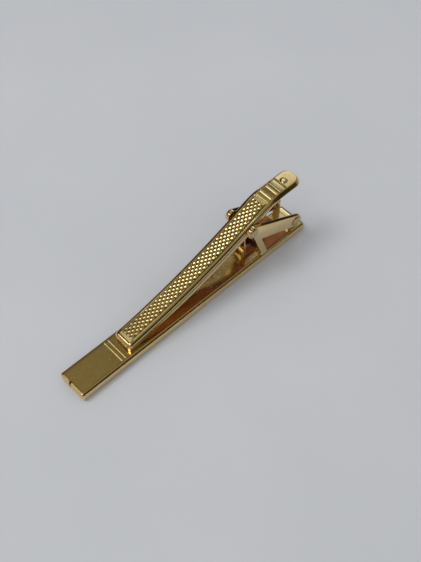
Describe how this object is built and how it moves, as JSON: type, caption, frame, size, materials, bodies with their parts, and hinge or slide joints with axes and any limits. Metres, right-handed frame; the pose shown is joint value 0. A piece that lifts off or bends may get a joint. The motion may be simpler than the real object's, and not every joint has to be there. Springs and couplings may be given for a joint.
{
  "type": "tie clip",
  "caption": "Slim gilt tie clip: a polished front bar, a stirrup hinge bracket and a sprung, bowed rear arm with a diamond-knurled back, a ribbed thumb pad and a jaw that grips against the bar.",
  "frame": {"origin": "centre of the flat decorative front face, which lies on z = 0", "axes": "+X along the bar from its plain end to its hinge end, +Y across the bar, +Z from the front face towards the clip arm at its back"},
  "size_m": [0.057, 0.0072, 0.015],
  "materials": {
    "polished_gilt": "polished gold plate",
    "bracket_gilt": "polished gold plate",
    "arm_gilt": "knurled and polished gold plate",
    "pin_gilt": "polished gold plate",
    "spring_wire": "gold-plated drawn wire"
  },
  "bodies": {
    "bar": {"front_shell": "polished_gilt", "back_plate": "polished_gilt", "hinge_bracket": "bracket_gilt", "hinge_pin": "pin_gilt", "ear_rivets": "pin_gilt", "torsion_spring": "spring_wire"},
    "arm": {"clip_arm": "arm_gilt"}
  },
  "joints": [
    {"name": "arm_hinge", "type": "hinge", "parent": "bar", "child": "arm", "pos_m": [0.0137, 0, 0.0114], "axis": [0, 1, 0], "range_deg": [0, 28], "deforming": ["torsion_spring"]}
  ]
}
